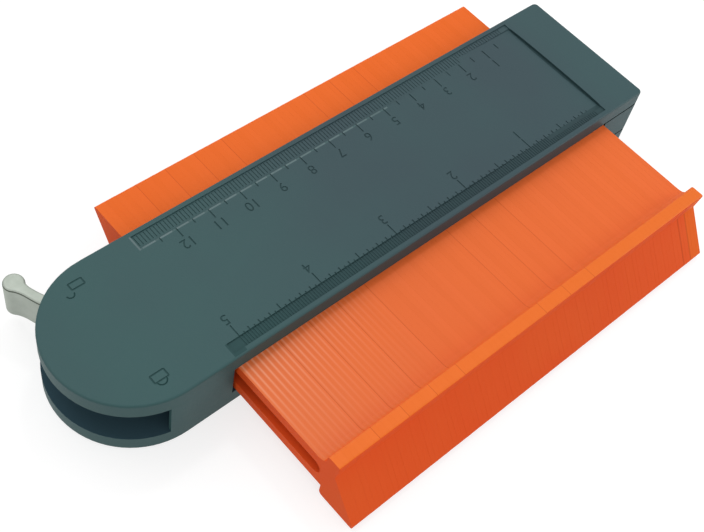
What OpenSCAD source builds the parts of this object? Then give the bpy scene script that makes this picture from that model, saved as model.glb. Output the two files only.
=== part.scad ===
// Contour gauge: a row of thin leaves slides between two covers and takes the shape
// that it is pressed against. A cam lever in the rounded end squeezes the row to hold it.
// Frame: origin at the centre of the body's underside, +X towards the square end,
// +Y towards the plain ends of the leaves, +Z up. Sizes are in millimetres.

/* [Body] */
// Width of the body, across the row of leaves
body_width = 44; // [42:1:56]
// Thickness of the bottom cover
bottom_thickness = 4.8; // [4.4:0.1:9]
// Height of the space between the two covers
middle_height = 11; // [9:0.1:14]
// Thickness of the top cover
top_thickness = 4.8; // [4.4:0.1:9]
// Radius of the upright corners at the square end
corner_radius = 1.4; // [0.5:0.1:4]
// Length of the end block between the covers at the square end
end_block_length = 14.5; // [12:0.1:24]
// Length of the row of leaves, which the body is made to hold
row_length = 133.2; // [60:0.1:150]

/* [Scale panel] */
// Depth of the sunk panel where it meets the square end
panel_depth = 0.6; // [0.2:0.1:1.2]
// Length over which the panel rises back to the top face
panel_length = 52; // [20:1:100]
// Width of the sunk panel
panel_width = 37.4; // [30:0.2:39]
// Depth of the two ruler strips
strip_depth = 0.35; // [0.1:0.05:0.8]
// Width of the centimetre strip, on the back edge
cm_strip_width = 4.2; // [2:0.1:6]
// Width of the inch strip, on the front edge
inch_strip_width = 3.1; // [2:0.1:6]
// Land left between a strip and the body's edge
strip_margin = 1.5; // [0.6:0.1:3]

/* [Leaves] */
// Leaves in one group
leaves_per_group = 3; // [1:1:3]
// Thickness of one leaf
leaf_thickness = 1.49; // [0.8:0.01:2]
// Least gap between two leaves in the row
leaf_gap = 0.03; // [0.02:0.01:0.2]
// Gap between a leaf and each cover
leaf_clearance = 0.1; // [0.05:0.05:0.4]
// Length of blade between the body's front face and the head
blade_reach = 31.5; // [20:0.1:50]
// Length of blade behind the body's back face
back_reach = 14.6; // [8:0.1:40]
// How far the lower corner of the back end is set in
back_slant = 6.8; // [0:0.1:8]
// Height of the slot along the blade
slot_height = 4.6; // [3:0.1:5.4]
// Solid length between the slot and the head
slot_land = 1.2; // [1:0.1:6]
// Largest shift of a leaf from the straight row at rest
leaf_scatter = 0.06; // [0:0.01:0.3]

/* [Leaf heads] */
// Height of the rib above the blade
rib_height = 4.3; // [2:0.1:6]
// Width of the rib
rib_width = 4.1; // [2.5:0.1:8]
// Depth of the rib's front below the blade's top
lip_drop = 1.4; // [0:0.1:4]
// How far the rib's front leans over the slanted front below it
lip_setback = 0.7; // [0:0.1:2]
// How far the toe stands out in front of the rib
toe_reach = 7.8; // [2:0.1:14]
// Height of the toe above the table
toe_height = 1; // [0.3:0.1:3]
// Radius between the blade and the rib
rib_fillet = 2.6; // [0.5:0.1:3]

/* [Leaf travel] */
// Travel towards the front
front_travel = 14; // [4:0.5:20]
// Free space left at each end of the travel
travel_clearance = 0.5; // [0.3:0.1:2]

/* [Guide bar] */
// Width of the steel bar that the leaves are strung on
bar_width = 4; // [2:0.1:8]
// Height of the bar
bar_height = 3.9; // [2:0.1:4.6]
// Depth of the bar's seat in the end block
bar_seat_depth = 8; // [4:0.5:11]
// Depth of the bar's end in the press block
bar_engagement = 2.5; // [1:0.1:3]
// Gap round the bar in its pockets
bar_clearance = 0.1; // [0.05:0.05:0.3]

/* [Press block] */
// Thickness of the sliding press block
press_thickness = 5.5; // [5.2:0.1:12]
// Width of the press block
press_width = 25.8; // [20:0.2:27]
// Thickness of the rubber pad on the press block
press_pad_thickness = 1.1; // [0.6:0.1:3]
// Travel of the press block when the lever locks
press_travel = 1; // [0.4:0.1:1]
// Gap left at the pad, the cam and the sliding faces
press_clearance = 0.1; // [0.05:0.05:0.3]
// Thickness of the rubber pad on the end block
fixed_pad_thickness = 1; // [0.6:0.1:3]

/* [Lever] */
// Smallest radius of the cam
cam_radius = 6.4; // [5.5:0.1:9]
// Turn of the lever from open to locked, in degrees
lever_swing = 122; // [90:1:126]
// Spare angle between the lever and the ends of its slot
slot_margin = 16.5; // [14:0.5:24]
// Distance from the pivot to the tip of the lever
lever_length = 34.5; // [32:0.5:60]
// Width of the lever's knob
knob_width = 5.4; // [4:0.1:12]
// Width of the neck
neck_width = 2.9; // [2:0.1:4]
// Distance from the knob's centre back to the narrowest part of the neck
neck_setback = 4.5; // [3:0.1:8]
// How far the knob is set aside from the arm's line
knob_offset = 1.6; // [0:0.1:3]
// Distance from the knob's centre back to where the arm starts to bend aside
bend_setback = 9; // [6:0.1:9.5]
// Width of the arm where it leaves the hub
root_width = 9; // [7:0.1:11]
// Radius of the pivot pin
pin_radius = 2; // [1.5:0.1:3]
// Gap round the pin in the lever
pin_clearance = 0.05; // [0.02:0.01:0.1]
// Gap round the pin in the covers
pin_seat_gap = 0.02; // [0.01:0.01:0.05]
// Depth of the pin's seat in each cover
pin_seat_depth = 3; // [2:0.1:4]

/* [Screws] */
// Radius of the screw shanks
screw_radius = 1.4; // [1:0.1:1.8]
// Radius of the screw heads
screw_head_radius = 2.7; // [2.2:0.1:3.2]
// Height of the screw heads
screw_head_height = 1.8; // [1.2:0.1:2.2]
// Depth of a head below the underside
screw_head_sink = 0.5; // [0.2:0.1:1]
// Gap round the screws in their holes
screw_clearance = 0.1; // [0.05:0.05:0.3]
// Depth of the screws in the top cover
screw_bite = 2.8; // [2:0.1:3.6]
// Distance from the body's side to a screw's centre at the rounded end
spacer_screw_inset = 4.5; // [4:0.1:5]
// Distance from the body's side to a screw's centre at the square end
end_screw_inset = 8; // [5:0.5:14]

/* [Hidden] */
$fn = 64;
body_height = bottom_thickness + middle_height + top_thickness;
middle_z0 = bottom_thickness;
middle_z1 = bottom_thickness + middle_height;
end_radius = body_width / 2;

// Places along the row, from the rounded end to the square end
group_count = floor(row_length / (leaves_per_group * (leaf_thickness + leaf_gap)));
leaf_count = group_count * leaves_per_group;
leaf_pitch = row_length / leaf_count;
lever_bay = cam_radius + press_thickness + press_pad_thickness + press_travel + 2 * press_clearance;
end_bay = press_clearance + fixed_pad_thickness + end_block_length;
body_length = end_radius + lever_bay + row_length + end_bay;
body_x0 = -body_length / 2;
body_x1 = body_length / 2;
pivot_x = body_x0 + end_radius;
press_x0 = pivot_x + cam_radius + press_clearance;
press_x1 = press_x0 + press_thickness;
press_pad_x1 = press_x1 + press_pad_thickness;
comb_x0 = pivot_x + lever_bay;
comb_x1 = comb_x0 + row_length;
fixed_pad_x0 = comb_x1 + press_clearance;
end_block_x0 = fixed_pad_x0 + fixed_pad_thickness;

// Leaf profile, seen along +X: first number along Y, second along Z
blade_z0 = middle_z0 + leaf_clearance;
blade_z1 = middle_z1 - leaf_clearance;
blade_back_y = body_width / 2 + back_reach;
head_back_y = -body_width / 2 - blade_reach;
rib_front_y = head_back_y - rib_width;
toe_y = rib_front_y - toe_reach;
rib_z = blade_z1 + rib_height;
lip_z = blade_z1 - lip_drop;
slot_z = (blade_z0 + blade_z1) / 2;
slot_front_y = head_back_y + slot_land;
slot_back_y = bar_width / 2 + front_travel + travel_clearance + slot_height / 2;
back_corner = 0.8;
rib_back_corner = 0.8;
rib_front_corner = 0.5;
toe_corner = 0.7;
heel_corner = 1.2;
arc_steps = 4;

// Guide bar, running from the press block's pocket to the end block's seat
bar_x0 = press_x1 - bar_engagement;
bar_x1 = end_block_x0 + bar_seat_depth;
press_pocket_depth = bar_engagement + press_travel + 4 * bar_clearance;

// Lever
lever_rest_angle = 180 - lever_swing / 2;
slot_half_angle = lever_swing / 2 + slot_margin;
lever_z0 = middle_z0 + leaf_clearance;
lever_height = middle_height - 2 * leaf_clearance;
cam_lead_out = 24;
cam_steps = 40;
arm_steps = 48;
knob_steps = 16;
knob_distance = lever_length - knob_width / 2;
neck_distance = knob_distance - neck_setback;
bend_distance = knob_distance - bend_setback;
bend_power = 1.6;

// Spacers beside the press block
spacer_inner_y = press_width / 2 + press_clearance;
spacer_x1 = press_pad_x1 - press_clearance;

// Screws, each as [x, y]
spacer_screw_x = (press_x0 + press_x1) / 2 - screw_head_radius;
end_screw_x = end_block_x0 + end_block_length / 2;
screw_places = [
    for (side = [-1, 1]) [spacer_screw_x, side * (body_width / 2 - spacer_screw_inset)],
    for (side = [-1, 1]) [end_screw_x, side * (body_width / 2 - end_screw_inset)]
];
screw_hole_radius = screw_radius + screw_clearance;
counterbore_depth = screw_head_sink + screw_head_height;
screw_top_z = middle_z1 + screw_bite;
cross_width = 0.8;
cross_depth = 1;
cross_reach = 0.6 * screw_head_radius;

// Ruler strips and panel, a little longer than the row of leaves
strip_overrun = 0.4;
strip_x0 = comb_x0 - strip_overrun;
strip_x1 = comb_x1 + strip_overrun;

// Spare depth of a cut past the face that it opens
cut = 1;

body_colour = "#485e61";
leaf_colour = "#e4703a";
zinc_colour = "#b4bab2";
steel_colour = "#8f9498";
rubber_colour = "#26292b";

function two_digits(number) = number < 10 ? str("0", number) : str(number);
function leaf_node(group) = str("leaf_group_", two_digits(group));

// Points of an arc, from one angle to another
function arc(centre, radius, from, to, steps = arc_steps) = [
    for (i = [0 : steps])
        let (angle = from + (to - from) * i / steps)
        centre + radius * [cos(angle), sin(angle)]
];

// Shift of one leaf along Y at rest: an even, repeatable unevenness of the row
function leaf_shift(index) = leaf_scatter * sin(97 * index) * cos(41 * index + 20);

// Outline of the body seen from above: round at one end, square at the other
module body_outline() {
    translate([pivot_x, 0]) circle(end_radius);
    translate([pivot_x, -body_width / 2])
        square([body_x1 - corner_radius - pivot_x, body_width]);
    translate([pivot_x, -body_width / 2 + corner_radius])
        square([body_x1 - pivot_x, body_width - 2 * corner_radius]);
    for (side = [-1, 1])
        translate([body_x1 - corner_radius, side * (body_width / 2 - corner_radius)])
            circle(corner_radius);
}

// Lets a shape run along X: the profile's first axis becomes Y and its second Z
module along_x(length) {
    rotate([90, 0, 90]) linear_extrude(length) children();
}

// A box between two X planes, centred on Y and on a height
module bar_box(x0, x1, width, height) {
    translate([x0, -width / 2, slot_z - height / 2]) cube([x1 - x0, width, height]);
}

// Pilot holes for the screws over a range of height
module screw_holes(radius, z0, z1) {
    for (place = screw_places)
        translate([place[0], place[1], z0]) cylinder(r = radius, h = z1 - z0);
}

// An upright cylinder on the lever's axis, for the pin and for its seats
module pivot_cylinder(radius, z0, z1) {
    translate([pivot_x, 0, z0]) cylinder(r = radius, h = z1 - z0);
}

// The sunk panel: deepest at the square end, rising to nothing along the body
module panel_cut() {
    translate([0, panel_width / 2, 0])
        rotate([90, 0, 0]) linear_extrude(panel_width)
            polygon([
                [strip_x1, body_height - panel_depth],
                [strip_x1, body_height + cut],
                [strip_x1 - panel_length, body_height + cut],
                [strip_x1 - panel_length, body_height]
            ]);
}

// A ruler strip along one edge: side is +1 for the back edge and -1 for the front
module strip_cut(side, width) {
    outer_y = body_width / 2 - strip_margin;
    low_y = side > 0 ? outer_y - width : -outer_y;
    translate([strip_x0, low_y, body_height - strip_depth])
        cube([strip_x1 - strip_x0, width, strip_depth + cut]);
}

module top_cover() {
    color(body_colour) difference() {
        translate([0, 0, middle_z1]) linear_extrude(top_thickness) body_outline();
        panel_cut();
        strip_cut(1, cm_strip_width);
        strip_cut(-1, inch_strip_width);
        screw_holes(screw_hole_radius, middle_z1 - cut, screw_top_z + screw_clearance);
        pivot_cylinder(pin_radius + pin_seat_gap, middle_z1 - cut, middle_z1 + pin_seat_depth);
    }
}

module bottom_cover() {
    color(body_colour) difference() {
        linear_extrude(bottom_thickness) body_outline();
        screw_holes(screw_head_radius + screw_clearance, -cut, counterbore_depth);
        screw_holes(screw_hole_radius, -cut, bottom_thickness + cut);
        pivot_cylinder(pin_radius + pin_seat_gap, middle_z0 - pin_seat_depth, middle_z0 + cut);
    }
}

// The middle layer at the square end, seat of the guide bar
module end_block() {
    color(body_colour) difference() {
        translate([0, 0, middle_z0]) linear_extrude(middle_height) intersection() {
            body_outline();
            translate([end_block_x0, -body_width / 2]) square([end_block_length, body_width]);
        }
        bar_box(end_block_x0 - cut, bar_x1, bar_width, bar_height);
        screw_holes(screw_hole_radius, middle_z0 - cut, middle_z1 + cut);
    }
}

// One wall beside the press block. Its slanted end is one end of the lever's slot.
module spacer(side) {
    far = 2 * body_width;
    color(body_colour) difference() {
        translate([0, 0, middle_z0]) linear_extrude(middle_height) difference() {
            intersection() {
                body_outline();
                translate([body_x0, side > 0 ? spacer_inner_y : -far])
                    square([spacer_x1 - body_x0, far - spacer_inner_y * (side > 0 ? 0 : 1)]);
            }
            translate([pivot_x, 0]) polygon([
                [0, 0],
                far * [-cos(slot_half_angle), side * sin(slot_half_angle)],
                [-far, side * far],
                [-far, 0]
            ]);
        }
        screw_holes(screw_hole_radius, middle_z0 - cut, middle_z1 + cut);
    }
}

module front_spacer() spacer(-1);

module back_spacer() spacer(1);

module guide_bar() {
    color(steel_colour) bar_box(bar_x0, bar_x1, bar_width, bar_height);
}

// A rubber pad across the row, with a window for the guide bar
module pad(x0, thickness, width) {
    color(rubber_colour) difference() {
        bar_box(x0, x0 + thickness, width, blade_z1 - blade_z0);
        bar_box(x0 - cut, x0 + thickness + cut, bar_width + 2 * bar_clearance, bar_height + 2 * bar_clearance);
    }
}

module fixed_pad() pad(fixed_pad_x0, fixed_pad_thickness, body_width - 2 * corner_radius);

module press_pad() pad(press_x1, press_pad_thickness, press_width);

// The slider between the cam and the row
module press_block() {
    color(body_colour) difference() {
        bar_box(press_x0, press_x1, press_width, blade_z1 - blade_z0);
        bar_box(press_x1 - press_pocket_depth, press_x1 + cut,
                bar_width + 2 * bar_clearance, bar_height + 2 * bar_clearance);
    }
}

// Cam radius at an angle behind the contact line: it grows evenly over the lever's swing
function cam_reach(angle) = cam_radius + press_travel * min(angle / lever_swing, 1);

// Half the arm's width at a distance from the pivot
function arm_half_width(distance) =
    let (towards_hub = max(0, 1 - distance / neck_distance))
    let (towards_knob = max(0, (distance - neck_distance) / (knob_distance - neck_distance)))
    (neck_width + (root_width - neck_width) * pow(towards_hub, 2)
        + (knob_width - neck_width) * pow(towards_knob, 2)) / 2;

// How far the arm's middle lies aside of its line at a distance from the pivot
function arm_offset(distance) =
    -knob_offset * pow(max(0, distance - bend_distance) / bend_setback, bend_power);

// Half the knob's width at a distance from the pivot, and nothing outside the knob
function knob_chord(distance) =
    sqrt(max(0, pow(knob_width / 2, 2) - pow(distance - knob_distance, 2)));

// The arm's outer side at a distance from the pivot: side is +1 or -1
function arm_side(distance, side) =
    let (plain = arm_offset(distance) + side * arm_half_width(distance))
    let (chord = knob_chord(distance))
    let (knob_side = arm_offset(knob_distance) + side * chord)
    chord > 0 ? side * max(side * plain, side * knob_side) : plain;

// The cam: an even spiral over the lever's swing, then a step back to the round hub
module cam_outline() {
    spiral_end = lever_swing + cam_lead_out;
    polygon(concat(
        [for (i = [1 : cam_steps])
            let (angle = spiral_end * i / cam_steps)
            cam_reach(angle) * [cos(angle), -sin(angle)]],
        arc([0, 0], cam_radius, -spiral_end, -360, cam_steps)
    ));
}

// The arm, from the pivot out along one side, round the knob and back along the other
module arm_outline() {
    distances = [for (i = [0 : arm_steps - 1]) knob_distance * i / arm_steps];
    polygon(concat(
        [for (distance = distances) [distance, arm_side(distance, 1)]],
        arc([knob_distance, arm_offset(knob_distance)], knob_width / 2, 90, -90, knob_steps),
        [for (i = [arm_steps - 1 : -1 : 0]) [distances[i], arm_side(distances[i], -1)]]
    ));
}

// The die-cast lever with its cam. The cam's low side faces the press block at rest.
module lever() {
    color(zinc_colour) translate([pivot_x, 0, lever_z0]) difference() {
        linear_extrude(lever_height) {
            cam_outline();
            rotate(lever_rest_angle) arm_outline();
        }
        translate([0, 0, -cut]) cylinder(r = pin_radius + pin_clearance, h = lever_height + 2 * cut);
    }
}

module pivot_pin() {
    color(steel_colour) pivot_cylinder(pin_radius, middle_z0 - pin_seat_depth, middle_z1 + pin_seat_depth);
}

// One screw, its head sunk in the underside, with a cross in the head
module screw() {
    difference() {
        union() {
            translate([0, 0, screw_head_sink]) cylinder(r = screw_head_radius, h = screw_head_height);
            translate([0, 0, counterbore_depth]) cylinder(r = screw_radius, h = screw_top_z - counterbore_depth);
        }
        for (turn = [0, 90])
            rotate(turn) translate([-cross_reach, -cross_width / 2, screw_head_sink - cut])
                cube([2 * cross_reach, cross_width, cross_depth + cut]);
    }
}

module cover_screws() {
    color(steel_colour) for (place = screw_places)
        translate([place[0], place[1], 0]) screw();
}

// Side profile of a leaf: slanted back end, blade, rib and toed head
module leaf_profile() {
    toe_lean = atan2(toe_reach + lip_setback, lip_z - toe_height);
    difference() {
        polygon(concat(
            [[blade_back_y - back_slant, blade_z0]],
            arc([blade_back_y - back_corner, blade_z1 - back_corner], back_corner, 0, 90),
            arc([head_back_y + rib_fillet, blade_z1 + rib_fillet], rib_fillet, 270, 180),
            arc([head_back_y - rib_back_corner, rib_z - rib_back_corner], rib_back_corner, 0, 90),
            arc([rib_front_y + rib_front_corner, rib_z - rib_front_corner], rib_front_corner, 90, 180),
            [[rib_front_y + lip_setback, lip_z]],
            arc([toe_y + toe_corner, toe_height + toe_corner], toe_corner, 180 - toe_lean, 270),
            arc([head_back_y - heel_corner, toe_height + heel_corner], heel_corner, 270, 360),
            [[head_back_y, blade_z0]]
        ));
        translate([slot_front_y + slot_height / 2, slot_z - slot_height / 2])
            square([slot_back_y - slot_front_y - slot_height, slot_height]);
        for (end_y = [slot_front_y + slot_height / 2, slot_back_y - slot_height / 2])
            translate([end_y, slot_z]) circle(slot_height / 2);
    }
}

// One group of neighbouring leaves
module leaf_group(group) {
    color(leaf_colour) for (i = [0 : leaves_per_group - 1]) {
        index = (group - 1) * leaves_per_group + i;
        translate([comb_x0 + (index + 0.5) * leaf_pitch - leaf_thickness / 2, leaf_shift(index), 0])
            along_x(leaf_thickness) leaf_profile();
    }
}

top_cover();
bottom_cover();
end_block();
front_spacer();
back_spacer();
guide_bar();
fixed_pad();
press_block();
press_pad();
lever();
pivot_pin();
cover_screws();
for (group = [1 : group_count])
    leaf_group(group);
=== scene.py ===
import math

import bpy
from mathutils import Euler, Matrix, Vector


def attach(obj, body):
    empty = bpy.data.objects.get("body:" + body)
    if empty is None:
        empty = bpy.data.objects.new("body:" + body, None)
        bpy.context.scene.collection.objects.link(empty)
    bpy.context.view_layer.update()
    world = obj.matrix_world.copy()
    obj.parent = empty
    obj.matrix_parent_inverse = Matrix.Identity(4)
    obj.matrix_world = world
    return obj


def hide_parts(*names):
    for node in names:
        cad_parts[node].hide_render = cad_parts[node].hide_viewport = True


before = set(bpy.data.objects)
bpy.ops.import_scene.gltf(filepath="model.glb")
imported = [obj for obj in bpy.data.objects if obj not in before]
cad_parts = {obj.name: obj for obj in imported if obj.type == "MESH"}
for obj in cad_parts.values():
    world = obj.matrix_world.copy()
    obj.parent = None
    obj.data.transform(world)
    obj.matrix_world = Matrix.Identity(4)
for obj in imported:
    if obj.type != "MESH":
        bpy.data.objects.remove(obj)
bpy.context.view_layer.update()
scene = bpy.context.scene

# Camera
# It stands above the front left of the gauge and looks down along the row of leaves,
# turned a little about its own axis.
MM = 0.001
heading = math.radians(53.121)
elevation = math.radians(53.943)
roll = math.radians(14.010)
camera_data = bpy.data.cameras.new("camera")
camera_data.sensor_width = 36
camera_data.lens = 60.540
camera_data.shift_x = -0.0109
camera_data.shift_y = -0.0024
camera_data.clip_start = 0.01
camera = bpy.data.objects.new("camera", camera_data)
scene.collection.objects.link(camera)
camera.location = Vector((-154.39, -122.67, 258.02)) * MM
level_aim = Euler((math.pi / 2 - elevation, 0, -heading)).to_matrix()
camera.rotation_euler = (level_aim @ Matrix.Rotation(roll, 3, "Z")).to_euler()
scene.camera = camera
scene.view_settings.view_transform = "Standard"

# Floor and light
# A white table top in a white room, lit by a large soft lamp behind the gauge, a small one that
# catches the tops of the first leaves, and a low one beside the square end. The floor shows white
# to the eye and keeps the shadow.
white = (1, 1, 1, 1)
floor_grey = (0.36, 0.36, 0.36, 1)
floor_width = 6
floor_drop = 0.1
floor_glow = (0.25, 0.72)
room_light = (0.74, 1)


def add_node(tree, kind, **settings):
    """A node of this kind in the tree, with its plain settings made."""
    node = tree.nodes.new(kind)
    for setting, value in settings.items():
        setattr(node, setting, value)
    return node


def seen_directly(tree):
    """A socket that is 1 on what the eye, a reflection or a see-through piece shows of the room."""
    path = add_node(tree, "ShaderNodeLightPath")
    eye_or_gloss = add_node(tree, "ShaderNodeMath", operation="MAXIMUM")
    tree.links.new(path.outputs["Is Camera Ray"], eye_or_gloss.inputs[0])
    tree.links.new(path.outputs["Is Glossy Ray"], eye_or_gloss.inputs[1])
    any_sight = add_node(tree, "ShaderNodeMath", operation="MAXIMUM")
    tree.links.new(eye_or_gloss.outputs[0], any_sight.inputs[0])
    tree.links.new(path.outputs["Is Transmission Ray"], any_sight.inputs[1])
    return any_sight.outputs[0]


def scaled(tree, socket, low, high):
    """The socket's 0 to 1 spread over low to high."""
    spread = add_node(tree, "ShaderNodeMapRange")
    spread.inputs["To Min"].default_value = low
    spread.inputs["To Max"].default_value = high
    tree.links.new(socket, spread.inputs["Value"])
    return spread.outputs["Result"]


def new_material(name, **constants):
    """A material with one Principled shader; returns it, its tree and the shader.

    The constants are values for the shader's sockets.
    """
    material = bpy.data.materials.new(name)
    material.use_nodes = True
    shader = material.node_tree.nodes["Principled BSDF"]
    for socket, value in constants.items():
        shader.inputs[socket.replace("_", " ")].default_value = value
    return material, material.node_tree, shader


bpy.ops.object.select_all(action="DESELECT")
bpy.ops.mesh.primitive_plane_add(size=floor_width, location=(0, 0, -floor_drop * MM))
floor = bpy.context.active_object
floor.name = "floor"
floor_paint, floor_tree, floor_shader = new_material(
    "floor_paint", Base_Color=floor_grey, Roughness=0.9, Specular_IOR_Level=0, Emission_Color=white)
floor_tree.links.new(scaled(floor_tree, seen_directly(floor_tree), *floor_glow),
                     floor_shader.inputs["Emission Strength"])
floor.data.materials.append(floor_paint)

room = bpy.data.worlds.new("room")
room.use_nodes = True
room_tree = room.node_tree
room_paint = room_tree.nodes["Background"]
room_paint.inputs["Color"].default_value = white
room_tree.links.new(scaled(room_tree, seen_directly(room_tree), *room_light),
                    room_paint.inputs["Strength"])
scene.world = room


def soft_lamp(name, place, aim, size, power):
    """A square soft lamp at a place in millimetres, turned to face its aim."""
    lamp_data = bpy.data.lights.new(name, "AREA")
    lamp_data.size = size * MM
    lamp_data.energy = power
    lamp = bpy.data.objects.new(name, lamp_data)
    scene.collection.objects.link(lamp)
    lamp.location = Vector(place) * MM
    facing = Vector(aim) - Vector(place)
    lamp.rotation_euler = facing.to_track_quat("-Z", "Y").to_euler()


soft_lamp("overhead_lamp", place=(-120, 420, 760), aim=(0, 0, 0), size=600, power=1.5)
soft_lamp("window_lamp", place=(225, 213, 616), aim=(-45, -26, 16), size=70, power=0.45)
soft_lamp("end_lamp", place=(300, -190, 130), aim=(86, -22, 10), size=160, power=0.3)

# Bottom cover
# The lower half of the body, injection-moulded in dark teal grey ABS with a fine spark-eroded skin.
# Its lower edge is broken by a small radius, and a fine bevel round the square end makes a split
# line, painted near black as the shade in it. Its upper side, the floor of the lever's slot, is
# painted darker and bluer, as the shade in the slot.
along_row = (1, 0, 0)
square_end = 92.5
half_width = 22
corner_radius = 1.4
pivot_x = -70.5
bottom_top = 4.8
outline_slack = 0.02
round_end_slack = 0.08
outer_edge = 0.55
split_edge = 0.3
split_start = 77
level_normal = 0.98
sharp_angle = 40
merge_distance = 0.001
merge_angle = 0.3
grain_detail = 2
grain_depth = 0.05
patch_detail = 3
patch_contrast = (0.35, 0.65)
body_grains = 2200
body_patches = 28
# The body's colour drift along it is painted light: greener towards the rounded end, and a little back at
# the square end.
painted_light_drift = (-75, 0)
painted_light_drift_back = (70, 84)
end_share = 0.65
patch_share = 0.25


def pick_out(piece):
    """Only this piece selected and active."""
    bpy.ops.object.select_all(action="DESELECT")
    piece.select_set(True)
    bpy.context.view_layer.objects.active = piece


def merge_faces(piece):
    """Merges doubled points, and the triangles of each flat face."""
    pick_out(piece)
    bpy.ops.object.mode_set(mode="EDIT")
    bpy.ops.mesh.select_all(action="SELECT")
    bpy.ops.mesh.remove_doubles(threshold=merge_distance * MM)
    bpy.ops.mesh.dissolve_limited(angle_limit=math.radians(merge_angle))
    bpy.ops.object.mode_set(mode="OBJECT")


def copy_of_node(node, name, finish):
    """A new object with the node's mesh, its faces merged, in this finish."""
    piece = bpy.data.objects.new(name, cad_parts[node].data.copy())
    piece.data.name = name
    piece.data.materials.clear()
    piece.data.materials.append(finish)
    scene.collection.objects.link(piece)
    merge_faces(piece)
    return piece


def round_edges(piece, chosen, radius, segments):
    """A bevel on the sharp edges whose two ends both pass the test, with places in millimetres."""
    pick_out(piece)
    bpy.ops.object.mode_set(mode="EDIT")
    bpy.ops.mesh.select_mode(type="EDGE")
    bpy.ops.mesh.select_all(action="DESELECT")
    bpy.ops.mesh.edges_select_sharp(sharpness=math.radians(sharp_angle))
    bpy.ops.object.mode_set(mode="OBJECT")
    points = piece.data.vertices
    for whole in list(points) + list(piece.data.polygons):
        whole.select = False
    for edge in piece.data.edges:
        edge.select = edge.select and all(chosen(points[index].co / MM) for index in edge.vertices)
    bpy.ops.object.mode_set(mode="EDIT")
    bpy.ops.mesh.bevel(offset=radius * MM, segments=segments, affect="EDGES")
    bpy.ops.object.mode_set(mode="OBJECT")


def score(piece, direction, places):
    """Straight lines across the piece at these places, which part its faces there."""
    pick_out(piece)
    bpy.ops.object.mode_set(mode="EDIT")
    for place in places:
        bpy.ops.mesh.select_all(action="SELECT")
        bpy.ops.mesh.bisect(plane_co=Vector(direction) * place * MM, plane_no=direction,
                            threshold=merge_distance * MM)
    bpy.ops.object.mode_set(mode="OBJECT")


def near(value, target):
    """True for two places less than the outline's slack apart."""
    return abs(value - target) < outline_slack


def on_outline(point):
    """True for a place on the outer wall of the body."""
    on_side = abs(point.y) > half_width - outline_slack
    on_square_end = point.x > square_end - corner_radius - outline_slack
    from_pivot = math.hypot(point.x - pivot_x, point.y)
    on_round_end = point.x < pivot_x and from_pivot > half_width - round_end_slack
    return on_side or on_square_end or on_round_end


def at_square_end(point):
    """True for a place on the outer wall where the split lines show."""
    return on_outline(point) and point.x > split_start - outline_slack


def finish_piece(piece, body, node, smooth_angle=20):
    """Smooth shading across shallow angles but not on level faces, and the place in the frame."""
    pick_out(piece)
    bpy.ops.object.shade_smooth_by_angle(angle=math.radians(smooth_angle))
    for face in piece.data.polygons:
        if abs(face.normal.z) > level_normal:
            face.use_smooth = False
    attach(piece, body)
    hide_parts(node)


def new_group(name, inputs, outputs):
    """A shader node group with these named sockets; returns it with its two end nodes."""
    group = bpy.data.node_groups.new(name, "ShaderNodeTree")
    for socket, kind, value in inputs:
        made = group.interface.new_socket(socket, in_out="INPUT", socket_type=kind)
        if value is not None:
            made.default_value = value
    for socket, kind in outputs:
        group.interface.new_socket(socket, in_out="OUTPUT", socket_type=kind)
    return group, group.nodes.new("NodeGroupInput"), group.nodes.new("NodeGroupOutput")


def make_moulded_skin():
    """The skin of a moulded piece: a fine grain, and wide cloudy patches where the colour drifts."""
    group, given, made = new_group(
        "moulded_skin",
        [("Coordinates", "NodeSocketVector", None),
         ("Grains per Metre", "NodeSocketFloat", body_grains),
         ("Patches per Metre", "NodeSocketFloat", body_patches)],
        [("Grain", "NodeSocketFloat"), ("Patch", "NodeSocketFloat")])
    grain = add_node(group, "ShaderNodeTexNoise")
    grain.inputs["Detail"].default_value = grain_detail
    group.links.new(given.outputs["Coordinates"], grain.inputs["Vector"])
    group.links.new(given.outputs["Grains per Metre"], grain.inputs["Scale"])
    group.links.new(grain.outputs["Fac"], made.inputs["Grain"])
    patch = add_node(group, "ShaderNodeTexNoise")
    patch.inputs["Detail"].default_value = patch_detail
    group.links.new(given.outputs["Coordinates"], patch.inputs["Vector"])
    group.links.new(given.outputs["Patches per Metre"], patch.inputs["Scale"])
    contrast = add_node(group, "ShaderNodeMapRange")
    contrast.inputs["From Min"].default_value = patch_contrast[0]
    contrast.inputs["From Max"].default_value = patch_contrast[1]
    group.links.new(patch.outputs["Fac"], contrast.inputs["Value"])
    group.links.new(contrast.outputs["Result"], made.inputs["Patch"])
    return group


moulded_skin = make_moulded_skin()


def mix_colours(tree, factor, first, second):
    """A colour socket between two colours or colour sockets."""
    mix = add_node(tree, "ShaderNodeMix", data_type="RGBA")
    tree.links.new(factor, mix.inputs["Factor"])
    for socket, colour in (("A", first), ("B", second)):
        target = [each for each in mix.inputs if each.name == socket and each.type == "RGBA"][0]
        if isinstance(colour, tuple):
            target.default_value = colour + (1,)
        else:
            tree.links.new(colour, target)
    return [each for each in mix.outputs if each.type == "RGBA"][0]


def skin_on(tree, shader, grains, patches, rough, bump):
    """Places the moulded skin: grain into roughness and bump. Returns the patch socket."""
    coordinates = add_node(tree, "ShaderNodeTexCoord")
    skin = add_node(tree, "ShaderNodeGroup", node_tree=moulded_skin)
    skin.inputs["Grains per Metre"].default_value = grains
    skin.inputs["Patches per Metre"].default_value = patches
    tree.links.new(coordinates.outputs["Object"], skin.inputs["Coordinates"])
    tree.links.new(scaled(tree, skin.outputs["Grain"], *rough), shader.inputs["Roughness"])
    relief = add_node(tree, "ShaderNodeBump")
    relief.inputs["Strength"].default_value = bump
    relief.inputs["Distance"].default_value = grain_depth * MM
    tree.links.new(skin.outputs["Grain"], relief.inputs["Height"])
    tree.links.new(relief.outputs["Normal"], shader.inputs["Normal"])
    return skin.outputs["Patch"]


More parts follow.
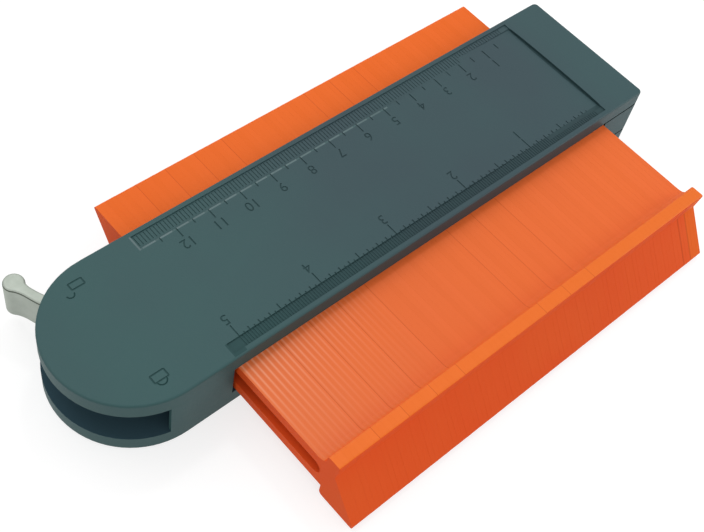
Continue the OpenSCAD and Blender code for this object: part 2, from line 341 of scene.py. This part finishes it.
def calculated(tree, operation, first, second=0):
    """The result of one sum on sockets or numbers."""
    sum_node = add_node(tree, "ShaderNodeMath", operation=operation)
    for slot, value in enumerate((first, second)):
        if isinstance(value, (int, float)):
            sum_node.inputs[slot].default_value = value
        else:
            tree.links.new(value, sum_node.inputs[slot])
    return sum_node.outputs[0]


def place_on(tree):
    """The X, Y and Z sockets of the place on the piece."""
    coordinates = add_node(tree, "ShaderNodeTexCoord")
    place = add_node(tree, "ShaderNodeSeparateXYZ")
    tree.links.new(coordinates.outputs["Object"], place.inputs[0])
    return place.outputs


def ramp(tree, socket, start, end):
    """A socket that runs from 0 at the start to 1 at the end, both in millimetres."""
    run = add_node(tree, "ShaderNodeMapRange")
    run.inputs["From Min"].default_value = start * MM
    run.inputs["From Max"].default_value = end * MM
    tree.links.new(socket, run.inputs["Value"])
    return run.outputs["Result"]


def teal_plastic(name, specular, rough, bump, round_end_colour, square_end_colour):
    """A finish of the body's plastic, whose colour drifts along it.

    It runs from one colour at the rounded end to the other, and a little back at the square end.
    This drift is painted light, the uneven light along the body; the cloudy patches are the plastic's own.
    """
    material, tree, shader = new_material(name, Specular_IOR_Level=specular)
    patch = skin_on(tree, shader, body_grains, body_patches, rough, bump)
    along = place_on(tree)["X"]
    drift = calculated(tree, "MULTIPLY", ramp(tree, along, *painted_light_drift), 1 - patch_share)
    cloud = calculated(tree, "MULTIPLY", patch, patch_share)
    end_drift = scaled(tree, ramp(tree, along, *painted_light_drift_back), 1, end_share)
    whole_drift = calculated(tree, "MULTIPLY", calculated(tree, "ADD", drift, cloud), end_drift)
    tree.links.new(mix_colours(tree, whole_drift, round_end_colour, square_end_colour),
                   shader.inputs["Base Color"])
    return material


body_plastic = teal_plastic(
    "body_plastic", specular=0.25, rough=(0.46, 0.62), bump=0.35,
    round_end_colour=(0.034, 0.096, 0.095), square_end_colour=(0.034, 0.064, 0.075))
# Painted shade: a darker finish for the faces of grooves and sunk strips, where shade falls.
shaded_groove_plastic = teal_plastic(
    "shaded_groove_plastic", specular=0.2, rough=(0.6, 0.75), bump=0.2,
    round_end_colour=(0.023, 0.073, 0.072), square_end_colour=(0.025, 0.049, 0.056))
# Painted shade: a near black finish for the split lines at the square end.
split_shade = teal_plastic(
    "split_shade", specular=0.1, rough=(0.8, 0.9), bump=0.2,
    round_end_colour=(0.007, 0.016, 0.016), square_end_colour=(0.006, 0.013, 0.014))
# Painted shade: a darker, bluer finish inside the lever's slot.
slot_shade_plastic = teal_plastic(
    "slot_shade_plastic", specular=0.1, rough=(0.7, 0.85), bump=0.2,
    round_end_colour=(0.034, 0.075, 0.098), square_end_colour=(0.034, 0.064, 0.080))


def paint(piece, finish, chosen):
    """Gives the faces that pass the test a finish of their own."""
    if finish.name not in piece.data.materials:
        piece.data.materials.append(finish)
    place_in_list = piece.data.materials.find(finish.name)
    for face in piece.data.polygons:
        if chosen(face):
            face.material_index = place_in_list


def in_split_line(face, height):
    """True for a slanted face beside this height, round the square end."""
    beside = abs(face.center.z / MM - height) < split_edge
    slanted = 1 - level_normal < abs(face.normal.z) < level_normal
    return beside and slanted and face.center.x > split_start * MM


def split_line(piece, height):
    """A fine bevel round the square end at this height, painted near black as the shade in it."""
    round_edges(piece, lambda point: near(point.z, height) and at_square_end(point),
                split_edge, segments=1)
    paint(piece, split_shade, lambda face: in_split_line(face, height))


def on_slot_floor(face):
    """True for a level face at the upper side of the bottom cover."""
    return face.normal.z > level_normal and near(face.center.z / MM, bottom_top)


bottom_cover = copy_of_node("bottom_cover", "bottom_shell", body_plastic)
round_edges(bottom_cover, lambda point: near(point.z, 0) and on_outline(point), outer_edge, segments=3)
score(bottom_cover, along_row, [split_start])
split_line(bottom_cover, bottom_top)
# Painted shade: the slot's floor takes the darker, bluer finish.
paint(bottom_cover, slot_shade_plastic, on_slot_floor)
finish_piece(bottom_cover, "body", "bottom_cover")

# Middle layer
# The end block and the two walls beside the lever, moulded from the same plastic as the covers and
# clamped between them by the screws. The end block's bevels make the split lines at the square end,
# painted near black as the shade in them. The walls are hollow, and painted darker inside, as the
# shade where they meet the lever's slot.
middle_top = 15.8
wall_skin = 1.2
hollow_end = -67.5


def subtract(piece, tool, joins_itself=False):
    """Cuts the tool out of the piece and removes the tool. The cut faces take the tool's material."""
    pick_out(piece)
    cut = piece.modifiers.new("cut", "BOOLEAN")
    cut.operation = "DIFFERENCE"
    cut.solver = "EXACT"
    cut.use_self = joins_itself
    cut.object = tool
    cut.material_mode = "TRANSFER"
    bpy.ops.object.modifier_apply(modifier=cut.name)
    bpy.data.objects.remove(tool)


def hollow_cutter():
    """A round block that leaves the skin of a wall standing beside the lever's slot."""
    bpy.ops.object.select_all(action="DESELECT")
    bpy.ops.mesh.primitive_cylinder_add(
        vertices=96, radius=(half_width - wall_skin) * MM, depth=2 * middle_top * MM,
        location=(pivot_x * MM, 0, middle_top / 2 * MM))
    bpy.ops.object.mode_set(mode="EDIT")
    bpy.ops.mesh.select_all(action="SELECT")
    bpy.ops.mesh.bisect(plane_co=(hollow_end * MM, 0, 0), plane_no=(-1, 0, 0),
                        use_fill=True, clear_inner=True)
    bpy.ops.object.mode_set(mode="OBJECT")
    tool = bpy.context.active_object
    # Painted shade: the cut faces inside the wall take the slot's darker finish.
    tool.data.materials.append(slot_shade_plastic)
    return tool


end_block = copy_of_node("end_block", "square_end_block", body_plastic)
split_line(end_block, bottom_top)
split_line(end_block, middle_top)
finish_piece(end_block, "body", "end_block")
for node, name in (("front_spacer", "front_wall"), ("back_spacer", "back_wall")):
    wall = copy_of_node(node, name, body_plastic)
    subtract(wall, hollow_cutter())
    finish_piece(wall, "body", node)

# Lever
# A cam lever of bare die-cast zinc, tumbled satin: a flat knob, a narrow waist and a cam that turns
# on the pivot pin between the covers. Its edges are rounded, and the lower half of each upper
# rounding is painted dark, as the shade under the edge.
lever_edge = 0.5
lever_low = 4.9
lever_high = 15.7
pin_clear = 3
shade_normals = (0.2, 0.6)


def cloudy_material(name, grains, patches, rough, bump, colours, **constants):
    """A material whose colour drifts between two colours in cloudy patches."""
    material, tree, shader = new_material(name, **constants)
    patch = skin_on(tree, shader, grains, patches, rough, bump)
    tree.links.new(mix_colours(tree, patch, *colours), shader.inputs["Base Color"])
    return material


def off_pin(point):
    """True for a place outside the pin's hole."""
    return math.hypot(point.x - pivot_x, point.y) > pin_clear


zinc = cloudy_material(
    "zinc", grains=1400, patches=160, rough=(0.48, 0.62), bump=0.12,
    colours=((0.37, 0.41, 0.36), (0.43, 0.47, 0.42)), Metallic=0.7)
# Painted shade: a dark zinc for the lower half of the lever's upper rounding.
shaded_zinc_edge = new_material("shaded_zinc_edge", Base_Color=(0.13, 0.15, 0.12, 1), Metallic=0.6, Roughness=0.7)[0]
lever = copy_of_node("lever", "cam_lever", zinc)
round_edges(lever, lambda point: near(point.z, lever_low) and off_pin(point), lever_edge, segments=2)
round_edges(lever, lambda point: near(point.z, lever_high) and off_pin(point), lever_edge, segments=2)
# Painted shade under the upper edge.
paint(lever, shaded_zinc_edge, lambda face: shade_normals[0] < face.normal.z < shade_normals[1])
finish_piece(lever, "lever", "lever", smooth_angle=35)

# Pin, guide bar and screws
# Bright drawn steel: the pivot pin is pressed into both covers, the guide bar runs through the slots
# of all the leaves, and four screws hold the covers together from below.
bar_edge = 0.25


def break_all_edges(piece, width, segments, angle=35):
    """A bevel on every edge sharper than the angle."""
    pick_out(piece)
    bevel = piece.modifiers.new("broken_edges", "BEVEL")
    bevel.width = width * MM
    bevel.segments = segments
    bevel.limit_method = "ANGLE"
    bevel.angle_limit = math.radians(angle)
    bpy.ops.object.modifier_apply(modifier=bevel.name)


steel = cloudy_material(
    "steel", grains=1800, patches=220, rough=(0.25, 0.38), bump=0.08,
    colours=((0.30, 0.31, 0.32), (0.36, 0.37, 0.38)), Metallic=1)
for node, name in (("guide_bar", "leaf_guide_bar"), ("pivot_pin", "lever_pin")):
    rod = copy_of_node(node, name, steel)
    break_all_edges(rod, bar_edge, segments=2)
    finish_piece(rod, "body", node)
screws = copy_of_node("cover_screws", "shell_screws", steel)
finish_piece(screws, "body", "cover_screws")

# Press block and pads
# The press block is moulded plastic that the cam pushes along the row. Its pad and the fixed pad
# at the other end of the row are cut from black rubber sheet and glued on.
rubber = cloudy_material(
    "rubber", grains=1500, patches=60, rough=(0.7, 0.9), bump=0.5,
    colours=((0.016, 0.017, 0.018), (0.026, 0.028, 0.03)), Specular_IOR_Level=0.3)
for node, name, finish, slot, body in (
        ("press_block", "cam_follower", body_plastic, "body_plastic", "presser"),
        ("press_pad", "follower_pad", rubber, "rubber", "presser"),
        ("fixed_pad", "end_pad", rubber, "rubber", "body")):
    piece = copy_of_node(node, name, finish)
    break_all_edges(piece, bar_edge, segments=2)
    finish_piece(piece, body, node)

# Leaves
# A row of thin leaves moulded in orange ABS, each with a ribbed, toed head at the front and a plain
# slanted end at the back. They stand side by side on the guide bar. Their sides, slanted fronts and
# slots are painted a deeper red, as the shade they lie in; the fronts run darker towards the square
# end, and the last leaves are painted lighter, as the light from that side. The blades' tops carry a
# painted sheen, paler near the lever, and the crowned tops of the first ones painted highlights
# along their crowns. Some of the gaps carry painted shade.
group_count = 29
leaves_per_group = 3
row_start = -56.3
row_length = 133.2
leaf_pitch = row_length / (group_count * leaves_per_group)
leaf_thickness = 1.49
leaf_edge = 0.012
shown_gap = 0.004
leaf_scatter = 0.06
scatter_turns = (97, 41)
scatter_start = 20
evened_share = 0.7
top_facing = 0.6
slot_roof = 13

leaf_grains = 1700
leaf_patches = 45
leaf_bump = 0.1
cloud_share = 0.2
tone_middle = 0.5
tone_waves = ((0.3, 2.1, 0), (0.2, 5.3, 1))
front_start = (10, -20)
rib_start = (-52, -54.5)
rib_fade = (-45, 75)
back_tones = ((0.800, 0.135, 0.014), (0.830, 0.143, 0.018))
# The blades' tops are paler and bluer than the backs and ribs: a painted sheen.
blade_tones = ((0.760, 0.142, 0.032), (0.790, 0.151, 0.037))
rib_tones = ((0.840, 0.164, 0.022), (0.860, 0.172, 0.026))
far_rib_colour = (0.775, 0.160, 0.023)
top_cloud_colour = (0.84, 0.16, 0.025)

crown_height = 0.016
crown_fall = -4
flat_share = 0.08
# Painted highlights: light stripes along the crowns of the first leaves, strongest near the body.
highlight_row = (-14, -50)
highlight_reach = (-52, -26)
least_highlight = 0.15
highlight_power = 2
highlight_strength = 0.6
painted_highlight_colour = (0.90, 0.40, 0.25)
ridge_power = 8
# Painted sheen: a paler, pinker blade near the lever.
sheen_strength = 0.6
painted_sheen_colour = (0.77, 0.185, 0.062)

front_fade = (-45, 30)
front_colours = ((0.855, 0.098, 0.018), (0.775, 0.090, 0.018))
front_cloud_colour = (0.84, 0.16, 0.03)
# Painted light: the last leaves' faces are lighter, as the light from the square end's side.
lit_end = (72.3, 72.5)
lit_end_colour = (0.80, 0.125, 0.014)

# Painted shade: dark lines in some of the gaps between leaves, on the tops and at the fronts.
gap_shade = 0.4
gap_shade_colour = (0.45, 0.05, 0.008)
top_gap_share = 0.12
shaded_gap_tops = 62
gap_shade_turn = 7.3
gap_shade_limit = 0.95
front_gap_share = 0.35
shaded_gap_fronts = (82, 84)


def place_across_leaf(tree, place_x):
    """A socket that runs from 0 to 1 across each leaf of the row."""
    from_start = calculated(tree, "SUBTRACT", place_x, row_start * MM)
    return calculated(tree, "FRACT", calculated(tree, "DIVIDE", from_start, leaf_pitch * MM))


def add_relief(tree, shader, height, distance):
    """A second bump over the one that the shader has."""
    relief = add_node(tree, "ShaderNodeBump")
    relief.inputs["Distance"].default_value = distance * MM
    tree.links.new(shader.inputs["Normal"].links[0].from_socket, relief.inputs["Normal"])
    tree.links.new(height, relief.inputs["Height"])
    tree.links.new(relief.outputs["Normal"], shader.inputs["Normal"])


def dusted(tree, colour, across_leaf, share):
    """The colour with painted shade over a share of each leaf beside its gap, as dark as the leaf's own
    mark says.
    """
    leaf_gap = add_node(tree, "ShaderNodeAttribute", attribute_name="leaf_gap")
    beside_gap = calculated(tree, "LESS_THAN", across_leaf, share)
    painted_gap_shade = calculated(tree, "MULTIPLY", beside_gap, leaf_gap.outputs["Fac"])
    return mix_colours(tree, painted_gap_shade, colour, gap_shade_colour)


leaf_plastic, leaf_tree, leaf_shader = new_material("leaf_plastic", Specular_IOR_Level=0.12)
leaf_patch = skin_on(leaf_tree, leaf_shader, leaf_grains, leaf_patches, (0.36, 0.46), leaf_bump)
leaf_place = place_on(leaf_tree)
across = place_across_leaf(leaf_tree, leaf_place["X"])
from_middle = calculated(leaf_tree, "SUBTRACT", across, 0.5)
from_middle_squared = calculated(leaf_tree, "MULTIPLY", from_middle, from_middle)
crown = calculated(leaf_tree, "MULTIPLY", from_middle_squared, crown_fall)
near_lever = ramp(leaf_tree, leaf_place["X"], *highlight_row)
towards_body = ramp(leaf_tree, leaf_place["Y"], *highlight_reach)
near_body = scaled(leaf_tree, calculated(leaf_tree, "POWER", towards_body, highlight_power), least_highlight, 1)
in_front = ramp(leaf_tree, leaf_place["Y"], *front_start)
on_rib = ramp(leaf_tree, leaf_place["Y"], *rib_start)
on_blade = calculated(leaf_tree, "SUBTRACT", in_front, on_rib)
# The blade near the lever, where the painted sheen and highlights go.
sheen_blade = calculated(leaf_tree, "MULTIPLY", near_lever, on_blade)
# Where the crowns are raised and the painted highlights lie.
crown_highlight_zone = calculated(leaf_tree, "MULTIPLY", sheen_blade, near_body)
crown_share = scaled(leaf_tree, crown_highlight_zone, flat_share, 1)
add_relief(leaf_tree, leaf_shader, calculated(leaf_tree, "MULTIPLY", crown, crown_share), crown_height)

leaf_tone = add_node(leaf_tree, "ShaderNodeAttribute", attribute_name="leaf_tone").outputs["Fac"]
back_colour = mix_colours(leaf_tree, leaf_tone, *back_tones)
blade_colour = mix_colours(leaf_tree, leaf_tone, *blade_tones)
rib_colour = mix_colours(leaf_tree, leaf_tone, *rib_tones)
along_rib = ramp(leaf_tree, leaf_place["X"], *rib_fade)
faded_rib = mix_colours(leaf_tree, along_rib, rib_colour, far_rib_colour)
flat_colour = mix_colours(leaf_tree, in_front, back_colour, blade_colour)
plain_colour = mix_colours(leaf_tree, on_rib, flat_colour, faded_rib)
# Painted sheen over the blade, then painted highlights along the crowns.
painted_sheen = scaled(leaf_tree, sheen_blade, 0, sheen_strength)
sheened_colour = mix_colours(leaf_tree, painted_sheen, plain_colour, painted_sheen_colour)
ridge = calculated(leaf_tree, "POWER", calculated(leaf_tree, "ADD", crown, 1), ridge_power)
painted_highlight = scaled(leaf_tree, calculated(leaf_tree, "MULTIPLY", ridge, crown_highlight_zone), 0, highlight_strength)
highlighted_colour = mix_colours(leaf_tree, painted_highlight, sheened_colour, painted_highlight_colour)
top_cloud = scaled(leaf_tree, leaf_patch, 0, cloud_share)
top_colour = mix_colours(leaf_tree, top_cloud, highlighted_colour, top_cloud_colour)
leaf_tree.links.new(dusted(leaf_tree, top_colour, across, top_gap_share), leaf_shader.inputs["Base Color"])

# Painted shade: the sides, slanted fronts and slots take a deeper red copy of the leaf's plastic.
leaf_shaded_side, front_tree, front_shader = new_material("leaf_shaded_side", Specular_IOR_Level=0.05)
front_patch = skin_on(front_tree, front_shader, leaf_grains, leaf_patches, (0.45, 0.6), leaf_bump)
front_x = place_on(front_tree)["X"]
faded_front = mix_colours(front_tree, ramp(front_tree, front_x, *front_fade), *front_colours)
# The fronts run darker towards the square end, and the last leaves are painted lighter, as the light from
# that side.
at_lit_end = ramp(front_tree, front_x, *lit_end)
whole_front = mix_colours(front_tree, at_lit_end, faded_front, lit_end_colour)
front_cloud = scaled(front_tree, front_patch, 0, cloud_share)
front_colour = mix_colours(front_tree, front_cloud, whole_front, front_cloud_colour)
across_front = place_across_leaf(front_tree, front_x)
front_tree.links.new(dusted(front_tree, front_colour, across_front, front_gap_share),
                     front_shader.inputs["Base Color"])


def leaf_number(x):
    """The number in the row of the leaf at this place."""
    return math.floor((x / MM - row_start) / leaf_pitch)


def leaf_middle(number):
    """The middle plane of a leaf."""
    return (row_start + (number + 0.5) * leaf_pitch) * MM


def shift_of_leaf(number):
    """How far a leaf stands out of the straight row at rest, in millimetres."""
    first_turn = math.radians(scatter_turns[0] * number)
    second_turn = math.radians(scatter_turns[1] * number + scatter_start)
    return leaf_scatter * math.sin(first_turn) * math.cos(second_turn)


def tone_of_leaf(number):
    """A steady 0 to 1 tone for each leaf of the row."""
    return tone_middle + sum(size * math.sin(turn * number + start) for size, turn, start in tone_waves)


def on_side(face):
    """True for a face on a leaf's side or slanted front, or in its slot."""
    return face.normal.z < top_facing or face.center.z < slot_roof * MM


def dust_on_top(number):
    """How dark the painted shade in the gap beside a leaf is on top: dark for a few leaves, clear for the
    others.
    """
    gap_is_shaded = number < shaded_gap_tops and math.sin(gap_shade_turn * number) > gap_shade_limit
    return gap_shade if gap_is_shaded else 0


def dust_in_front(number):
    """How dark the painted shade in the gap beside a leaf is at the front."""
    return gap_shade if number in shaded_gap_fronts else 0


for group in range(1, group_count + 1):
    node = "leaf_group_%02d" % group
    leaves = copy_of_node(node, "leaves_%02d" % group, leaf_plastic)
    for point in leaves.data.vertices:
        number = leaf_number(point.co.x)
        middle = leaf_middle(number)
        point.co.x = middle + (point.co.x - middle) * (leaf_pitch - shown_gap) / leaf_thickness
        point.co.y -= evened_share * shift_of_leaf(number) * MM
    break_all_edges(leaves, leaf_edge, segments=1)
    # Painted shade: the sides, fronts and slots take the deeper red.
    paint(leaves, leaf_shaded_side, on_side)
    for mark in ("leaf_tone", "leaf_gap"):
        leaves.data.attributes.new(mark, "FLOAT", "FACE")
    tones = leaves.data.attributes["leaf_tone"].data
    gaps = leaves.data.attributes["leaf_gap"].data
    for face in leaves.data.polygons:
        number = leaf_number(face.center.x)
        tones[face.index].value = tone_of_leaf(number)
        gaps[face.index].value = dust_in_front(number) if on_side(face) else dust_on_top(number)
    finish_piece(leaves, node, node)

# Top cover
# The upper half of the body, moulded like the lower one. The ruler and the two padlocks are engraved
# in the mould, so they stand in the cover as fine grooves: centimetres along the back edge, inches
# along the front edge, each with its numerals, and a padlock at each end of the lever's swing. The
# grooves and the floor of the inch strip are painted darker, as the shade in them, and a light
# dashed line round the centimetre strip is a painted highlight.
across_row = (0, 1, 0)
cover_top = 20.6
face_depth = 1
cut_headroom = 1
panel_start = 25.3
panel_end = 77.3
panel_depth = 0.6
panel_side = 18.7
panel_below_strip = 55.6
step_line_x = 77.3
step_line_size = (0.48, 18.3, 0.8)
strip_start = -56.7
strip_outer = 20.5
centimetre_border = 16.3
inch_border = -17.4
# Painted highlight: a light dashed line round the centimetre strip.
border_width = 0.5
border_patches = 120
border_unlit = 0.25
border_colour = (0.034, 0.085, 0.088)
border_highlight_colours = ((0.062, 0.112, 0.116), (0.096, 0.154, 0.160))

ruler_zero = 73.85
half_centimetre = 5
half_centimetre_count = 26
inch_zero = 74.1
inch = 25.4
inch_count = 5
tick_floor = 20.15
centimetre_ticks = {"ends": (17.1, 20.2), "width": 0.24, "step": 1, "count": 131}
inch_ticks = {"ends": (-17.45, -20.4), "width": 0.36, "step": inch / 32, "count": 161}
mark_depth = 0.14
mark_width = 0.34
centimetre_mark_start = 16.8
centimetre_mark_ends = (13.2, 14.8)
inch_mark_start = -17.42
inch_mark_ends = (-13.9, -15.7)
sixteenth_mark_ends = (-16.5, -17)
numeral_height = 2.9
numeral_share_of_size = 0.69
centimetre_numeral_y = 11.1
inch_numeral_y = -11.9
padlock_stroke = 0.42
padlock_boxes = ((-75.9, -72.1, -13.9, -16.1), (-76.5, -72.9, 17.6, 15.7))
padlock_shackles = ((-74.1, -16.1, 1.3), (-77.5, 14.9, 1.0))

# Painted highlight on the centimetre strip's border, broken beside each half-centimetre mark.
edge_highlight_plastic, edge_tree, edge_shader = new_material("edge_highlight_plastic", Specular_IOR_Level=0.4)
edge_patch = skin_on(edge_tree, edge_shader, body_grains, border_patches, (0.4, 0.55), 0.2)
along_edge = place_on(edge_tree)["X"]
from_zero = calculated(edge_tree, "SUBTRACT", ruler_zero * MM, along_edge)
from_mark = calculated(
    edge_tree, "FRACT", calculated(edge_tree, "DIVIDE", from_zero, half_centimetre * MM))
off_marks = calculated(edge_tree, "GREATER_THAN", from_mark, border_unlit)
at_strip_end = calculated(edge_tree, "LESS_THAN", along_edge, strip_start * MM)
highlit = calculated(edge_tree, "MAXIMUM", off_marks, at_strip_end)
border_highlight_colour = mix_colours(edge_tree, edge_patch, *border_highlight_colours)
edge_tree.links.new(mix_colours(edge_tree, highlit, border_colour, border_highlight_colour),
                    edge_shader.inputs["Base Color"])


def surface_height(x):
    """The height of the cover's face at this place along it, with the sunk panel's slope."""
    along_panel = (x - panel_start) / (panel_end - panel_start)
    return cover_top - panel_depth * min(max(along_panel, 0), 1)


def stroke_cutter(start, end, width, floor_height):
    """A block that cuts one straight groove from one place to another."""
    run = Vector(end) - Vector(start)
    middle = (Vector(end) + Vector(start)) / 2
    height = cover_top + cut_headroom - floor_height
    bpy.ops.object.select_all(action="DESELECT")
    bpy.ops.mesh.primitive_cube_add(
        size=1, location=(middle.x * MM, middle.y * MM, (floor_height + height / 2) * MM),
        rotation=(0, 0, math.atan2(run.y, run.x)))
    block = bpy.context.active_object
    block.scale = (run.length * MM, width * MM, height * MM)
    bpy.ops.object.transform_apply(location=True, rotation=True, scale=True)
    return block


def row_cutter(x, y_range, width, step, count):
    """A row of equal ticks, each one step further towards the rounded end."""
    block = stroke_cutter((x, y_range[0]), (x, y_range[1]), width, tick_floor)
    row = block.modifiers.new("row", "ARRAY")
    row.count = count
    row.use_relative_offset = False
    row.use_constant_offset = True
    row.constant_offset_displace = (-step * MM, 0, 0)
    bpy.ops.object.modifier_apply(modifier=row.name)
    return block


def tick_rows(zero, panel_edge, ends, width, step, count):
    """The ticks of one scale. The first ones are shorter, where the panel dips below the strip."""
    inner, outer = ends
    short_count = math.ceil((zero - panel_below_strip) / step)
    long_zero = zero - short_count * step
    return [row_cutter(zero, (panel_edge, outer), width, step, short_count),
            row_cutter(long_zero, (inner, outer), width, step, count - short_count)]


def mark_cutter(x, low, high):
    """A block that cuts one mark of a scale into the face."""
    return stroke_cutter((x, low), (x, high), mark_width, surface_height(x) - mark_depth)


def numeral_cutter(number, x, y):
    """A numeral read from the back edge, cut into the face."""
    bpy.ops.object.select_all(action="DESELECT")
    bpy.ops.object.text_add(location=(0, 0, 0))
    numeral = bpy.context.active_object
    numeral.data.body = str(number)
    numeral.data.align_x = "CENTER"
    numeral.data.align_y = "CENTER"
    numeral.data.size = numeral_height / numeral_share_of_size * MM
    numeral.data.extrude = cut_headroom * MM
    numeral.data.resolution_u = 3
    bpy.ops.object.convert(target="MESH")
    numeral = bpy.context.active_object
    numeral.rotation_euler = (0, 0, math.pi)
    numeral.location = (x * MM, y * MM, (surface_height(x) - mark_depth + cut_headroom) * MM)
    bpy.ops.object.transform_apply(location=True, rotation=True, scale=True)
    merge_faces(numeral)
    bpy.ops.object.mode_set(mode="EDIT")
    bpy.ops.mesh.select_all(action="SELECT")
    bpy.ops.mesh.normals_make_consistent(inside=False)
    bpy.ops.object.mode_set(mode="OBJECT")
    return numeral


def shackle_cutter(x, y, radius):
    """A half ring, open towards the back edge, that cuts a padlock's shackle."""
    bpy.ops.object.select_all(action="DESELECT")
    bpy.ops.mesh.primitive_torus_add(
        location=(x * MM, y * MM, cover_top * MM), major_radius=radius * MM,
        minor_radius=padlock_stroke / 2 * MM, major_segments=24, minor_segments=4)
    bpy.ops.object.transform_apply(location=True, rotation=True, scale=True)
    bpy.ops.object.mode_set(mode="EDIT")
    bpy.ops.mesh.select_all(action="SELECT")
    bpy.ops.mesh.bisect(plane_co=(0, y * MM, 0), plane_no=(0, -1, 0), use_fill=True, clear_inner=True)
    bpy.ops.object.mode_set(mode="OBJECT")
    return bpy.context.active_object


def step_line_cutter():
    """A long, slim oval block that cuts the line at the deep end of the panel, thin at both ends."""
    bpy.ops.object.select_all(action="DESELECT")
    bpy.ops.mesh.primitive_cylinder_add(
        vertices=64, radius=1, depth=2, location=(step_line_x * MM, 0, cover_top * MM))
    oval = bpy.context.active_object
    oval.scale = Vector(step_line_size) * MM
    bpy.ops.object.transform_apply(location=True, rotation=True, scale=True)
    return oval


def engrave(cutters, joins_itself=False):
    """Cuts the joined cutters out of the top cover; the cut faces take the grooves' darker finish, painted
    shade.
    """
    bpy.ops.object.select_all(action="DESELECT")
    for cutter in cutters:
        cutter.select_set(True)
    bpy.context.view_layer.objects.active = cutters[0]
    if len(cutters) > 1:
        bpy.ops.object.join()
    tool = bpy.context.view_layer.objects.active
    tool.data.materials.clear()
    tool.data.materials.append(shaded_groove_plastic)
    subtract(top_cover, tool, joins_itself)


def on_top(face):
    """True for a level face at the top of the cover."""
    return face.normal.z > level_normal and face.center.z > (cover_top - face_depth) * MM


def on_worn_border(face):
    """True on the line round the centimetre strip that carries the painted highlight."""
    place = face.center / MM
    line_start = strip_start - border_width
    beside = centimetre_border - border_width < place.y < centimetre_border
    along_strip = beside and line_start < place.x < panel_start
    at_end = centimetre_border < place.y < strip_outer and line_start < place.x < strip_start
    return on_top(face) and (along_strip or at_end)


def in_inch_strip(face):
    """True on the floor of the inch strip."""
    place = face.center / MM
    in_strip = inch_border > place.y > -strip_outer and strip_start < place.x < panel_end
    return on_top(face) and in_strip


top_cover = copy_of_node("top_cover", "top_shell", body_plastic)
round_edges(top_cover, lambda point: near(point.z, cover_top) and on_outline(point), outer_edge, segments=3)
score(top_cover, along_row, [split_start])
split_line(top_cover, middle_top)
score(top_cover, along_row,
      [ruler_zero - half_centimetre * (number + 0.5) for number in range(half_centimetre_count + 1)])
score(top_cover, along_row, [strip_start - border_width])
score(top_cover, across_row, [inch_border, 0, centimetre_border - border_width])
# Painted highlight on the centimetre strip's border.
paint(top_cover, edge_highlight_plastic, on_worn_border)
# Painted shade: the inch strip's floor takes the grooves' darker finish.
paint(top_cover, shaded_groove_plastic, in_inch_strip)

engrave(tick_rows(ruler_zero, panel_side, **centimetre_ticks)
        + tick_rows(inch_zero, -panel_side, **inch_ticks))
engrave([step_line_cutter()])

numerals = []
for number in range(1, half_centimetre_count // 2):
    numerals.append(numeral_cutter(number, ruler_zero - 2 * half_centimetre * number, centimetre_numeral_y))
for number in range(1, inch_count + 1):
    numerals.append(numeral_cutter(number, inch_zero - inch * number, inch_numeral_y))
engrave(numerals, joins_itself=True)

fine_marks = []
for number in range(1, half_centimetre_count):
    low = centimetre_mark_ends[number % 2]
    fine_marks.append(mark_cutter(ruler_zero - half_centimetre * number, low, centimetre_mark_start))
for number in range(1, 16 * inch_count):
    if number % 8 != 0:
        high = sixteenth_mark_ends[number % 2]
        fine_marks.append(mark_cutter(inch_zero - inch / 16 * number, inch_mark_start, high))
engrave(fine_marks)

inch_marks = []
for number in range(1, 2 * inch_count + 1):
    high = inch_mark_ends[number % 2]
    inch_marks.append(mark_cutter(inch_zero - inch / 2 * number, inch_mark_start, high))
engrave(inch_marks)

padlock_floor = cover_top - mark_depth
padlock_bars = []
padlock_posts = []
for left, right, low, high in padlock_boxes:
    for y in (low, high):
        padlock_bars.append(stroke_cutter((left, y), (right, y), padlock_stroke, padlock_floor))
    for x in (left, right):
        padlock_posts.append(stroke_cutter((x, low), (x, high), padlock_stroke, padlock_floor))
engrave(padlock_bars)
engrave(padlock_posts)
engrave([shackle_cutter(*shackle) for shackle in padlock_shackles])
finish_piece(top_cover, "body", "top_cover")
